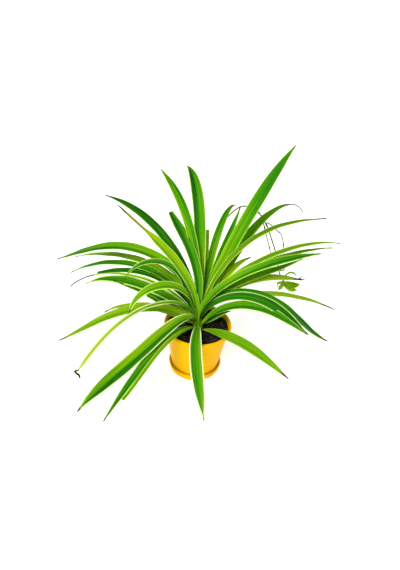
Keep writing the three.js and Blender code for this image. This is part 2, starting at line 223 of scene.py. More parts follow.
def makePotMaterial(finish):
    # polypropylene, injection moulded and dyed through: even warm yellow with a soft satin gloss,
    # a very fine mould grain, a few faint rubs and a faint painted glow that lifts its shade
    material, tree = newMaterial("mouldedPolypropylene")
    place = addNode(tree, "ShaderNodeTexCoord").outputs["Object"]
    drift = addNode(tree, "ShaderNodeTexNoise",
                    values={"Scale": 1 / (finish["driftSize"] * mm), "Detail": 2.0}, links={"Vector": place})
    tint = addNode(tree, "ShaderNodeMix", {"data_type": "RGBA"},
                   values={6: linear(finish["body"]), 7: linear(finish["shade"])},
                   links={"Factor": drift.outputs["Fac"]})
    grain = addNode(tree, "ShaderNodeTexNoise",
                    values={"Scale": 1 / (finish["grain"] * mm), "Detail": 2.0}, links={"Vector": place})
    rubs = addNode(tree, "ShaderNodeTexNoise",
                   values={"Scale": 1 / (finish["rubSize"] * mm), "Detail": 6.0, "Roughness": 0.7},
                   links={"Vector": place})
    shine = addNode(tree, "ShaderNodeMapRange",
                    values={"From Min": 0.3, "From Max": 0.75,
                            "To Min": finish["roughness"] - finish["polished"],
                            "To Max": finish["roughness"] + finish["dulled"]},
                    links={"Value": rubs.outputs["Fac"]})
    bump = addNode(tree, "ShaderNodeBump", values={"Strength": 0.12, "Distance": finish["grainHeight"] * mm},
                   links={"Height": grain.outputs["Fac"]})
    # the emission is a painted glow that lifts the shaded plastic
    finishMaterial(tree,
                   {"IOR": 1.35, "Subsurface Weight": 0.04, "Subsurface Scale": 1.0 * mm,
                    "Subsurface Radius": (1.0, 0.7, 0.1), "Specular IOR Level": 0.06,
                    "Specular Tint": linear(finish["gloss"]),
                    "Emission Color": linear(finish["glow"]), "Emission Strength": finish["paintedGlowStrength"]},
                   {"Base Color": tint.outputs[2], "Roughness": shine.outputs[0], "Normal": bump.outputs[0]})
    return material


soilFinish = {
    "dark": "#020101", "mid": "#080403", "light": "#1c120d",
    "crumb": 2.2, "crumbHeight": 0.6,  # mm
}


def makeSoilMaterial(finish):
    # moist peat with bark crumbs: nearly black, matt, with a few lighter fibres
    material, tree = newMaterial("moistPottingMix")
    place = addNode(tree, "ShaderNodeTexCoord").outputs["Object"]
    lumps = addNode(tree, "ShaderNodeTexNoise",
                    values={"Scale": 1 / (finish["crumb"] * mm), "Detail": 6.0, "Roughness": 0.7},
                    links={"Vector": place})
    tones = addNode(tree, "ShaderNodeValToRGB", links={"Fac": lumps.outputs["Fac"]})
    setRamp(tones, [(0.42, finish["dark"]), (0.6, finish["mid"]), (0.76, finish["light"])])
    bump = addNode(tree, "ShaderNodeBump", values={"Strength": 0.8, "Distance": finish["crumbHeight"] * mm},
                   links={"Height": lumps.outputs["Fac"]})
    finishMaterial(tree, {"Roughness": 0.85, "Specular IOR Level": 0.3},
                   {"Base Color": tones.outputs[0], "Normal": bump.outputs[0]})
    return material


crumbFinishes = {  # dark and light tone
    "barkCrumb": ("#040202", "#5c4a3c"),
    "paleFibreCrumb": ("#332d24", "#aaa28f"),
    "driedLeafEnd": ("#15110d", "#3a2f24"),  # its meshes carry no seed, so they keep the dark tone
}
crumbFibre = {"size": 1.1111, "height": 0.2}  # mm


def makeCrumbMaterial(name, dark, light, fibre):
    # bark, peat and dried leaf: matt and fibrous, each crumb with its own tone from its seed
    material, tree = newMaterial(name)
    seed = addNode(tree, "ShaderNodeAttribute", {"attribute_name": "seed"}).outputs["Fac"]
    place = addNode(tree, "ShaderNodeTexCoord").outputs["Object"]
    strands = addNode(tree, "ShaderNodeTexNoise", values={"Scale": 1 / (fibre["size"] * mm), "Detail": 3.0},
                      links={"Vector": place})
    blend = addNode(tree, "ShaderNodeMath", {"operation": "MULTIPLY", "use_clamp": True},
                    links={0: seed, 1: strands.outputs["Fac"]})
    tint = addNode(tree, "ShaderNodeMix", {"data_type": "RGBA"},
                   values={6: linear(dark), 7: linear(light)}, links={"Factor": blend.outputs[0]})
    bump = addNode(tree, "ShaderNodeBump", values={"Strength": 0.5, "Distance": fibre["height"] * mm},
                   links={"Height": strands.outputs["Fac"]})
    finishMaterial(tree, {"Roughness": 0.9, "Specular IOR Level": 0.25},
                   {"Base Color": tint.outputs[2], "Normal": bump.outputs[0]})
    return material


runnerFinish = {
    "green": "#6c8c3a", "brown": "#66704a", "dry": "#4c4a3a",
    "patch": 11.111, "fibre": 0.6667, "fibreHeight": 0.1,  # mm
}


def makeRunnerMaterial(finish):
    # wiry green stem that is drying: grey-green with brown patches along its length
    material, tree = newMaterial("dryingRunnerStem")
    place = addNode(tree, "ShaderNodeTexCoord").outputs["Object"]
    patches = addNode(tree, "ShaderNodeTexNoise",
                      values={"Scale": 1 / (finish["patch"] * mm), "Detail": 3.0}, links={"Vector": place})
    tones = addNode(tree, "ShaderNodeValToRGB", links={"Fac": patches.outputs["Fac"]})
    setRamp(tones, [(0.35, finish["green"]), (0.55, finish["brown"]), (0.7, finish["dry"])])
    fibre = addNode(tree, "ShaderNodeTexNoise",
                    values={"Scale": 1 / (finish["fibre"] * mm), "Detail": 2.0}, links={"Vector": place})
    bump = addNode(tree, "ShaderNodeBump", values={"Strength": 0.3, "Distance": finish["fibreHeight"] * mm},
                   links={"Height": fibre.outputs["Fac"]})
    finishMaterial(tree, {"Roughness": 0.6}, {"Base Color": tones.outputs[0], "Normal": bump.outputs[0]})
    return material


leafMaterial = makeLeafMaterial(leafFinish)
potMaterial = makePotMaterial(potFinish)
soilMaterial = makeSoilMaterial(soilFinish)
runnerMaterial = makeRunnerMaterial(runnerFinish)
crumbMaterials = {name: makeCrumbMaterial(name, dark, light, crumbFibre)
                  for name, (dark, light) in crumbFinishes.items()}
print("materials made")


def smoothStep(low, high, x):
    # 0 up to low and 1 from high on, and between them three squares less two cubes of the way
    t = np.clip((x - low) / (high - low), 0, 1)
    return t * t * (3 - 2 * t)


def signedVolume(points, faces):
    # a sixth of the summed triple products of each face's fan of triangles
    total = 0.0
    for size in (3, 4):
        group = np.array([f for f in faces if len(f) == size], int)
        if len(group):
            for k in range(1, size - 1):
                a, b, c = points[group[:, 0]], points[group[:, k]], points[group[:, k + 1]]
                total += np.einsum("ij,ij->i", a, np.cross(b, c)).sum() / 6
    return total


def addMesh(name, points, faces, material, uv=None, attributes=None, sharpAngle=None):
    # points are in metres in the plant's own frame, and faces point outwards
    points = np.asarray(points, float)
    if signedVolume(points, faces) < 0:
        faces = [f[::-1] for f in faces]
    mesh = bpy.data.meshes.new(name)
    mesh.from_pydata(points, [], faces)
    mesh.polygons.foreach_set("use_smooth", np.ones(len(faces), bool))
    if uv is not None:
        corners = np.empty(len(mesh.loops), np.int32)
        mesh.loops.foreach_get("vertex_index", corners)
        layer = mesh.uv_layers.new(name="UVMap")
        layer.data.foreach_set("uv", np.asarray(uv, np.float32)[corners].ravel())
    for key, values in (attributes or {}).items():
        layer = mesh.attributes.new(key, "FLOAT", "POINT")
        layer.data.foreach_set("value", np.broadcast_to(values, len(points)).astype(np.float32).ravel())
    if sharpAngle:
        mesh.set_sharp_from_angle(angle=math.radians(sharpAngle))
    mesh.materials.append(material)
    piece = bpy.data.objects.new(name, mesh)
    bpy.context.scene.collection.objects.link(piece)
    return piece


def ringPoints(radius, height, around):
    # a level ring of points for each radius and height, at (radius cos a, radius sin a, height)
    angle = np.linspace(0, 2 * math.pi, around, endpoint=False)
    radius, height = radius + 0 * angle, height + 0 * angle
    return np.stack(np.broadcast_arrays(radius * np.cos(angle), radius * np.sin(angle), height), -1)


def ringFaces(rows, around):
    # quads between neighbouring rows of a closed ring
    row = np.arange(rows - 1)[:, None] * around
    here, there = np.arange(around)[None], (np.arange(around)[None] + 1) % around
    return np.stack([row + here, row + there, row + around + there, row + around + here], -1).reshape(-1, 4)


def closedFaces(rows, around):
    # the quads of the rings, and fans to the two poles, which are the last two points
    here, end = np.arange(around), (rows - 1) * around
    there = (here + 1) % around
    low, high = np.full(around, rows * around), np.full(around, rows * around + 1)
    fans = np.concatenate([np.stack([low, there, here], -1), np.stack([high, end + here, end + there], -1)])
    return ringFaces(rows, around).tolist() + fans.tolist()


def turnedPiece(name, profile, material, around=144):
    # a closed profile of (radius, height) points turned about the upright axis;
    # a profile that starts and ends on the axis gets its poles there
    profile = np.asarray(profile, float)
    onAxis = profile[:, 0] < 1e-6
    radius, height = profile[~onAxis].T[..., None]
    points = ringPoints(radius, height, around).reshape(-1, 3)
    if onAxis.any():
        points = np.vstack([points, [0, 0, profile[0, 1]], [0, 0, profile[-1, 1]]])
        faces = closedFaces(len(radius), around)
    else:
        faces = ringFaces(len(radius), around)
        here, end = np.arange(around), (len(radius) - 1) * around
        there = (here + 1) % around
        faces = faces.tolist() + np.stack([end + here, end + there, there, here], -1).tolist()
    return addMesh(name, points * mm, faces, material, sharpAngle=40)


def arcPoints(centre, radius, start, stop, steps):
    # points on an arc, with its ends in degrees from the outward level
    angle = np.radians(np.linspace(start, stop, steps))
    return list(zip(centre[0] + radius * np.cos(angle), centre[1] + radius * np.sin(angle)))


def finishPiece(piece, slot, *nodes):
    # every piece is on the one body; nodes are the CAD nodes that it stands for
    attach(piece, "root")
    if nodes:
        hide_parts(*nodes)


saucerShape = {
    "height": 12, "baseRadius": 41.5, "lipRadius": 44, "lipRound": 1.4, "footRound": 1.4,
    "wall": 2.8, "floor": 3, "innerRound": 2, "floorInset": 0.4,
}
potShape = {
    "top": 90, "rimRadius": 55, "rimDepth": 8, "rimRound": 1.7, "rimEdge": 1, "fillet": 1.2,
    "shoulderRadius": 51.6, "footRadius": 38, "foot": 3.3, "footRound": 1.6,
    "wall": 2.2, "floor": 2.5, "drainRadius": 6,
    "outerFrom": 8, "outerSteps": 12, "innerSteps": 10,  # mm up where the even outer wall starts
    "rimInset": 0.1, "stepHalf": 2,  # mm; the inner wall steps in from above to below the rim
    "cornerRise": 2, "cornerIn": 1,  # mm, the slanted inner corner at the floor
}


def makeSaucer(shape):
    # a profile from the underside's middle, round the foot, up to the lip and in over the floor
    lip = (shape["lipRadius"] - shape["lipRound"], shape["height"] - shape["lipRound"])
    base, floor, foot, inner = shape["baseRadius"], shape["floor"], shape["footRound"], shape["innerRound"]
    profile = [(0, 0), (base - foot, 0)]
    profile += arcPoints((base - foot, foot), foot, -80, -10, 6)
    profile += arcPoints(lip, shape["lipRound"], -8, 188, 14)
    profile += arcPoints((base - shape["wall"] - shape["floorInset"], floor + inner), inner, -10, -85, 6)
    profile += [(0, floor)]
    finishPiece(turnedPiece("yellowSaucer", profile, potMaterial), "yellow_plastic", "saucer")


def makePot(shape):
    # a profile from the drain hole, out under the foot, up the slanting wall, round the rolled rim
    # and down the inner wall to the hole again
    top, foot, drain = shape["top"], shape["foot"], shape["drainRadius"]
    underRim = top - shape["rimDepth"]
    rim, rolled = shape["rimRadius"], shape["rimRound"]
    footRound, fillet, edge = shape["footRound"], shape["fillet"], shape["rimEdge"]
    stepHalf = shape["stepHalf"]

    def outside(z):
        share = (z - foot) / (underRim - foot)
        return shape["footRadius"] + (shape["shoulderRadius"] - shape["footRadius"]) * share

    def inside(z):
        return outside(z) - shape["wall"]

    floorTop = foot + shape["floor"]
    profile = [(drain, foot), (outside(foot) - footRound, foot)]
    profile += arcPoints((outside(foot + footRound) - footRound, foot + footRound), footRound, -80, -10, 6)
    outer = np.linspace(shape["outerFrom"], underRim - fillet, shape["outerSteps"])
    profile += [(outside(z), z) for z in outer]
    profile += arcPoints((outside(underRim) + fillet, underRim - fillet), fillet, 170, 100, 5)
    profile += arcPoints((rim - edge, underRim + edge), edge, -85, 0, 6)
    profile += arcPoints((rim - rolled, top - rolled), rolled, 2, 178, 14)
    profile += [(rim - 2 * rolled - shape["rimInset"], underRim + stepHalf)]
    inner = np.linspace(underRim - stepHalf, floorTop + shape["cornerRise"], shape["innerSteps"])
    profile += [(inside(z), z) for z in inner]
    profile += [(inside(floorTop) - shape["cornerIn"], floorTop), (drain, floorTop)]
    finishPiece(turnedPiece("yellowPot", profile, potMaterial), "yellow_plastic", "pot")


makeSaucer(saucerShape)
makePot(potShape)
print("pot and saucer made")


soilShape = {
    "top": 82, "radius": 49.4, "bottomRadius": 35.4, "bottom": 6.1, "shoulder": 2.5,
    "dip": 0.8,  # mm, how much lower the middle lies
    "bumps": 1.3,  # how strongly the surface rises and falls
    "heap": 2.6,  # mm, how much higher it lies at the wall
    "waves": ((28, 0.8), (13, 0.72), (7, 0.64), (4, 0.4), (2.4, 0.288)),  # mm long, and how high
    "waysPerWave": 5, "around": 220, "rings": 64, "wallRings": 6, "seed": 11,
    "wallInset": 0.4, "innerRing": 0.8,  # mm, the wall beside the top's edge, and the last ring's radius
}


def lumpyHeight(x, y, shape):
    # a sum of plane waves of falling length in random directions, in mm
    rng = np.random.default_rng(shape["seed"])
    height = np.zeros_like(x)
    for wavelength, share in shape["waves"]:
        for _ in range(shape["waysPerWave"]):
            way, phase = rng.uniform(0, 2 * math.pi, 2)
            step = (x * math.cos(way) + y * math.sin(way)) * 2 * math.pi / wavelength
            height += share / shape["waysPerWave"] * np.sin(step + phase)
    return height


def soilTop(x, y, shape):
    # level in the middle and heaped a little towards the wall
    share = np.hypot(x, y) / shape["radius"]
    level = shape["top"] - shape["dip"] + shape["heap"] * share ** 3
    return level + shape["bumps"] * lumpyHeight(x, y, shape)


def makeSoil(shape):
    # rings from the bottom's middle, up the wall and in over the lumpy top to its middle
    around, rows = shape["around"], shape["wallRings"]
    wall = ringPoints(np.linspace(shape["bottomRadius"], shape["radius"] - shape["wallInset"], rows)[:, None],
                      np.linspace(shape["bottom"], shape["top"] - shape["shoulder"], rows)[:, None], around)
    top = ringPoints(np.linspace(shape["radius"], shape["innerRing"], shape["rings"])[:, None], 0, around)
    top[..., 2] = soilTop(top[..., 0], top[..., 1], shape)
    middle = soilTop(np.zeros(1), np.zeros(1), shape)[0]
    points = np.vstack([wall.reshape(-1, 3), top.reshape(-1, 3), [0, 0, shape["bottom"]], [0, 0, middle]])
    piece = addMesh("pottingMix", points * mm, closedFaces(rows + shape["rings"], around), soilMaterial)
    finishPiece(piece, "potting_mix", "potting_mix")


lumps = {
    # how many, size in mm, how long, wide and tall beside that size, finish, seed
    "peatCrumbs": (1300, (1.0, 3.4), (1, 1, 0.7), "barkCrumb", 21),
    "barkChips": (420, (3.5, 8.0), (1, 0.5, 0.28), "barkCrumb", 22),
    "paleFibres": (170, (1.6, 5.2), (1, 0.3, 0.24), "paleFibreCrumb", 23),
}
lumpShape = {
    "margin": 1.5, "middle": 0.03,  # mm kept free at the wall, and the share of the area in the middle
    "slimmest": 0.7, "dent": 0.28, "lean": 0.5, "lift": 0.15,
    "darkest": 0.05, "paleSpan": 2.4, "paleRarity": 6,  # most crumbs are dark, a few are pale
}


def lumpTemplate():
    # the twelve corners and twenty faces of an icosahedron
    g = (1 + math.sqrt(5)) / 2
    corners = np.array([(-1, g, 0), (1, g, 0), (-1, -g, 0), (1, -g, 0), (0, -1, g), (0, 1, g), (0, -1, -g),
                        (0, 1, -g), (g, 0, -1), (g, 0, 1), (-g, 0, -1), (-g, 0, 1)], float)
    faces = [(0, 11, 5), (0, 5, 1), (0, 1, 7), (0, 7, 10), (0, 10, 11), (1, 5, 9), (5, 11, 4), (11, 10, 2),
             (10, 7, 6), (7, 1, 8), (3, 9, 4), (3, 4, 2), (3, 2, 6), (3, 6, 8), (3, 8, 9), (4, 9, 5),
             (2, 4, 11), (6, 2, 10), (8, 6, 7), (9, 8, 1)]
    return corners / np.linalg.norm(corners[0]), np.array(faces)


def scatterLumps(name, count, sizes, proportions, material, seed, shape, soil):
    # copies of one rough lump, each turned, squashed and dented at random, laid on the soil's top
    rng = np.random.default_rng(seed)
    corners, faces = lumpTemplate()
    r = (soil["radius"] - shape["margin"]) * np.sqrt(rng.uniform(shape["middle"], 1, count))
    angle = rng.uniform(0, 2 * math.pi, count)
    x, y = r * np.cos(angle), r * np.sin(angle)
    size = rng.uniform(*sizes, count)
    slims = [rng.uniform(shape["slimmest"], 1.0, count) * part for part in proportions]
    stretch = np.stack(slims, -1) * size[:, None] / 2
    dents = 1 + rng.uniform(-shape["dent"], shape["dent"], (count, len(corners), 1))
    rough = corners[None] * dents * stretch[:, None]
    yaw, pitch = rng.uniform(0, 2 * math.pi, count), rng.uniform(-shape["lean"], shape["lean"], count)
    cosP, sinP = np.cos(pitch)[:, None], np.sin(pitch)[:, None]
    cosY, sinY = np.cos(yaw)[:, None], np.sin(yaw)[:, None]
    long, tall = rough[..., 0] * cosP - rough[..., 2] * sinP, rough[..., 0] * sinP + rough[..., 2] * cosP
    turned = np.stack([long * cosY - rough[..., 1] * sinY, long * sinY + rough[..., 1] * cosY, tall], -1)
    ground = soilTop(x, y, soil) + shape["lift"] * size
    points = (turned + np.stack([x, y, ground], -1)[:, None]).reshape(-1, 3)
    allFaces = (faces[None] + len(corners) * np.arange(count)[:, None, None]).reshape(-1, 3).tolist()
    pale = shape["darkest"] + shape["paleSpan"] * rng.uniform(0, 1, count) ** shape["paleRarity"]
    piece = addMesh(name, points * mm, allFaces, material, attributes={"seed": np.repeat(pale, len(corners))})
    finishPiece(piece, "potting_mix")


makeSoil(soilShape)
for name, (count, sizes, proportions, finish, seed) in lumps.items():
    scatterLumps(name, count, sizes, proportions, crumbMaterials[finish], seed, lumpShape, soilShape)
print("potting mix made")


# Every leaf: heading (0 right, 90 back), turn on its way, slope over level at the foot, one third,
# two thirds and tip, length and width in mm, tilt at the foot and at the tip, which side of the
# crown it grows from and how high (90 is the top), its outline, then its look: tone from deep green 0
# to lime 1, width of the pale edge in mm, how white that edge is, and how much of the tip has dried.
leaves = {
    "back_1": (45, -6, (75, 60, 55, 42), 315, 20, (30, 30), (45, 80), "broad", 0.58, 0.5, 0.25, 0.03),
    "back_2": (95, 18, (82, 69, 55, -17), 274, 20, (-10, -10), (95, 35), "late", 0.41, 0.9, 0.6, 0.02),
    "back_3": (116, 6, (80, 67, 33, 8), 280, 15, (-20, -20), (116, 85), "broad", 0.51, 0.6, 0.35, 0.03),
    "back_4": (128, 0, (96, 80, 41, 31), 199, 16, (-15, -15), (150, 45), "blunt", 0.37, 0.5, 0.5, 0),
    "back_5": (141, 1, (80, 47, 14, -10), 295, 15, (-25, -25), (141, 80), "usual", 0.2, 0.4, 0.3, 0.05),
    "back_6": (168, 0, (95, 63, 40, 41), 248, 16, (-35, -20), (248, 24), "waisted", 0.6, 0.9, 0.55, 0.06),
    "back_7": (84, 10, (50, 60, 60, 50), 146, 11, (5, 5), (84, 50), "cut", 0.98, 1, 0.5, 0),
    "back_8": (81, -14, (65, 55, 36, -43), 235, 14, (0, 0), (81, 50), "usual", 0.5, 0.5, 0.3, 0.12),
    "back_9": (57, 2, (60, 67, 55, 66), 195, 12.5, (20, 20), (57, 65), "usual", 0.46, 0.5, 0.35, 0.05),
    "back_10": (46, 2, (56, 51, 12, -55), 325, 16, (20, 20), (46, 55), "whisker", 0.54, 0.4, 0.3, 0.02),

    "left_1": (161, 8, (85, 31, -17.5, -26), 321, 18, (-20, -20), (161, 75), "usual", 0.55, 0.5, 0.3, 0.04),
    "left_2": (153, 5, (81, 18, -12, -31), 285, 15.5, (-5, -5), (153, 80), "usual", 0.66, 0.6, 0.45, 0.04),
    "left_3": (161, 2, (76, 19, -17, -41), 280, 13, (-15, -15), (161, 75), "usual", 0.38, 0.6, 0.45, 0.05),
    "left_4": (163, 0, (71, 27, -9, -28), 210, 14.5, (-15, -15), (163, 70), "cut", 0.29, 0.6, 0.45, 0),
    "left_5": (169, 7, (66, 21, -10, -54), 250, 6, (-20, -20), (169, 65), "whisker", 0.65, 1, 0.5, 0.16),
    "left_6": (174, -1, (55, 24, 2, -44), 205, 20, (-15, -15), (174, 55), "usual", 0.47, 2.4, 0.6, 0.03),
    "left_7": (177, 1, (52, 26, 18, 12), 150, 15, (-15, -15), (177, 50), "usual", 0.5, 0.4, 0.45, 0.04),
    "left_8": (184, 1, (47, 27, 34, 26), 92, 10, (-20, -20), (184, 45), "cut", 0.5, 0.6, 0.4, 0),
    "left_9": (181, 26, (54, 73, 20, -72), 200, 10, (-50, -50), (186, 70), "usual", 0.34, 0.5, 0.55, 0.03),
    "left_10": (214, -10, (72, 55, -9, -93), 191, 14.5, (-30, -30), (214, 70), "usual", 0.64, 1.2, 0.5, 0.06),
    "left_11": (200, -6, (43, 11, -24, -23), 240, 15.5, (-25, -25), (200, 45), "slim", 0.7, 0.5, 0.3, 0.06),
    "left_12": (190, 0, (60, 14, 0, -45), 160, 9, (-25, -25), (190, 60), "usual", 0.8, 0.6, 0.35, 0.05),
    "left_13": (212, 7, (71, 13, -32, -48), 258, 8, (-20, -20), (212, 70), "strap", 0.42, 2.4, 0.7, 0),
    "left_14": (192, 0, (24, 34, 22, 10), 85, 10, (-20, -20), (192, 25), "usual", 0.85, 0.6, 0.35, 0.08),

    "front_1": (229, 6, (60, -12, -9, -32), 258, 22.5, (-15, -15), (229, 60), "broad", 0.52, 1.5, 0.75, 0.03),
    "front_2": (233, 12, (45, -3, -19, -20), 235, 13, (-15, -15), (234, -5), "usual", 0.45, 0.9, 0.6, 0.04),
    "front_3": (241, -2, (36, 7, -21, -12), 195, 7, (-20, -20), (241, 5), "cut", 0.6, 0.7, 0.4, 0),
    "front_4": (263, 30, (37, -7, -28, -54), 177, 21, (10, 10), (282, 6), "usual", 0.54, 1.7, 0.95, 0.03),
    "front_5": (322, 0, (24, 11, -8, -14), 176, 17.5, (30, 30), (320, -4), "spoon", 0.6, 0.4, 0.3, 0.08),

    "right_1": (345, 4, (64, 31, -15, -26), 202, 16.5, (25, 25), (332, 20), "usual", 0.42, 0.8, 0.6, 0.03),
    "right_2": (345, -2, (32, 49, 44, 23), 61, 10.5, (25, 25), (350, 30), "usual", 0.39, 0.5, 0.4, 0),
    "right_3": (348, 3, (71, 27, -26, -30), 220, 16, (45, 45), (348, 75), "late", 0.26, 0.9, 0.7, 0.04),
    "right_4": (2, 2, (85, 4, -40, -23), 280, 17, (20, 20), (2, 85), "broad", 0.38, 0.4, 0.3, 0.05),
    "right_5": (9, -4, (68, 13.5, -10, -30), 248, 11, (10, 10), (9, 80), "usual", 0.72, 0.4, 0.3, 0.1),
    "right_6": (13, 0, (103, 43, 18, 1), 254, 14, (30, 30), (290, 28), "broad", 0.5, 0.7, 0.5, 0.04),
    "right_7": (17, 5, (79, 33, 15, 21), 205, 14, (15, 15), (17, 75), "usual", 0.62, 0.5, 0.4, 0.04),
    "right_8": (20, 7, (83, 34, 8, -22), 300, 9, (25, 25), (20, 75), "usual", 0.56, 1.2, 0.5, 0.03),
    "right_9": (25, -8, (60, 32, -1, -13), 200, 15, (15, 15), (25, 60), "broad", 1, 0.6, 0.4, 0.08),
    "right_10": (33, -8, (74, 25, 5, -10), 285, 9.5, (15, 15), (33, 65), "usual", 0.53, 0.5, 0.4, 0.05),
    "right_11": (34, -9, (77, 52, 12, -3), 305, 10.5, (10, 10), (34, 85), "usual", 0.55, 1, 0.45, 0.07),
    "right_12": (37, 0, (78, 55, 38, -7), 140, 13, (20, 20), (37, 70), "usual", 0.91, 0.5, 0.3, 0.08),
}
# painted shade of the fold: how far the left half of a leaf is darker, and its right half lighter, in tone,
# where it isn't the usual
halfPaintedShade = {"back_1": -0.06, "back_2": 0.20, "back_3": -0.12, "back_4": 0.14, "back_5": -0.12, "back_9": 0.12,
           "front_1": 0.24, "front_2": 0.1, "front_4": -0.06, "right_6": -0.1, "left_1": 0.14,
           "right_1": -0.1}
# how much darker the outer part of a leaf is than its inner part, in tone, where it isn't the usual
outerDark = {"back_1": 0.4, "back_6": -0.35, "back_10": 0, "right_6": 0.34, "left_1": 0.3, "left_2": 0,
             "left_11": 0.1, "left_13": -0.35, "front_5": 0.1, "right_5": 0}
# how far the outer part of a leaf has faded from green to olive, where it has
faded = {"left_13": 0.14, "left_11": 0.1, "left_12": 0.14, "right_5": 0.14, "front_5": 0.08,
         "right_9": 0.08, "right_8": 0.14, "right_10": 0.16, "right_11": 0.18, "back_7": 0.1,
         "front_3": 0.08}
# share of the width at the foot, where the full width is reached, where the taper starts, and its
# power: the higher, the later the leaf narrows
outlines = {
    "usual": (0.5, 0.4, 0.5, 2.3),
    "broad": (0.45, 0.45, 0.62, 2.3),
    "late": (0.4, 0.65, 0.7, 2.2),
    "slim": (0.55, 0.35, 0.42, 2.0),
    "spoon": (0.12, 0.4, 0.5, 1.6),
    "strap": (0.8, 0.2, 0.86, 3.0),
    "whisker": (0.5, 0.4, 0.45, 1.5),  # ends in a long dried thread
    "waisted": (0.45, 0.6, 0.85, 2.0),  # its outer part has dried up to a thin string
    "blunt": (0.4, 0.6, 0.75, 2.0),  # this end is rounded off
    "cut": (0.5, 0.4, 0.0, 0.0),  # this end was cut off straight, so the taper isn't used
}
tipShape = {
    "thread": 2.2, "threadEnd": (0.97, 1.0),  # mm, the dried thread at a tip, and where it runs out
    "cutLoss": 0.3, "bluntLoss": 0.5,  # share of the width lost towards such an end
    "waist": (0.66, 0.79), "waistLoss": 0.68, "whiskerFrom": 0.75,
}
leafBuild = {
    "heartRadius": 8, "heartHeight": 16, "soilTop": 82,  # the half egg that the leaf lines start on
    "rows": 110,
    "columns": (0, 0.1, 0.22, 0.36, 0.5, 0.64, 0.77, 0.88, 0.95, 1),  # from the rib to the edge
    "ribThickness": 0.75, "edgeThickness": 0.35, "tipThinning": 0.5,  # mm, mm, share
    "folds": ((0, 58), (0.05, 48), (0.2, 28), (0.45, 21), (1, 9)),  # degrees that each half is raised
    "keelRound": 0.012, "curl": 0.16,  # how round the V's foot is, and how far its edges curl back
    "rippleLength": 46, "rippleHeight": 0.35,  # mm, the soft waves of the edges
    "curlStart": (0.1, 0.4), "rippleStart": (0.1, 0.3), "rippleEnd": (0.8, 1), "tiltChange": (0.4, 0.7),
    "threadHalf": (0.9, 2.0), "threadDepth": 0.8,  # mm, half the width where a leaf turns into a thread
}
leafLook = {
    # the first is the usual painted shade of the fold: left half darker, right half lighter in tone
    "leftHalfPaintedShade": 0.06, "outerDarker": 0.2, "outerFrom": 0.3,
    "footLighter": 0.2, "foot": (0.03, 0.14),
    "dryReach": 1.6, "fading": (0.1, 0.5),
    "waistDry": 0.3, "waistDrying": (0.7, 0.8), "whiskerDrying": (0.74, 0.84),
    "wideEdge": 0.95,  # mm, wider pale edges than this start at the foot
    "wideEdgeStart": (0.03, 0.2), "edgeStart": (0.12, 0.45), "fullEdgeHalf": 3,
    "halvesMeet": 3, "seedStep": 7.3,  # how sharply the painted shade turns from one half to the other, and mm of noise from leaf to leaf
}


def cubicThrough(values, s):
    # the cubic through four values at 0, 1/3, 2/3 and 1 of the way
    a, b, c, d = values
    u = 3 * s
    return (a * (1 - u) * (2 - u) * (3 - u) / 6 + b * u * (2 - u) * (3 - u) / 2
            - c * u * (1 - u) * (3 - u) / 2 + d * u * (1 - u) * (2 - u) / 6)


def leafAxes(row, s, build):
    # unit vectors along the leaf, across it to the left, and out of its upper face: the slope is a
    # cubic of the way along, the heading turns evenly, and the tilt changes near the middle
    heading, turn, slopes, _, _, tilts = row[:6]
    slope, way = np.radians(cubicThrough(slopes, s)), np.radians(heading + turn * s)
    along = np.stack([np.cos(slope) * np.cos(way), np.cos(slope) * np.sin(way), np.sin(slope)], -1)
    level = np.stack([-np.sin(way), np.cos(way), np.zeros_like(way)], -1)
    up = np.cross(along, level)
    tilt = np.radians(tilts[0] + (tilts[1] - tilts[0]) * smoothStep(*build["tiltChange"], s))[:, None]
    return along, level * np.cos(tilt) + up * np.sin(tilt), up * np.cos(tilt) - level * np.sin(tilt)


def leafWidth(s, width, outline, tip):
    # grows as a quarter sine from the foot, then falls away ever faster to a thread at the tip
    footShare, fullAt, taperFrom, power = outlines[outline]
    full = width * (footShare + (1 - footShare) * np.sin(np.minimum(s / fullAt, 1) * math.pi / 2))
    if outline == "cut":
        return full * (1 - tip["cutLoss"] * s * s)
    if outline == "waisted":
        full = full * (1 - tip["waistLoss"] * smoothStep(*tip["waist"], s))
    late = np.clip((s - taperFrom) / (1 - taperFrom), 0, 1)
    if outline == "blunt":
        return full * (1 - tip["bluntLoss"] * late ** power)
    if outline == "whisker":
        late = np.minimum(late / tip["whiskerFrom"], 1)
    return np.maximum(full * (1 - late ** power), tip["thread"] * (1 - smoothStep(*tip["threadEnd"], s)))


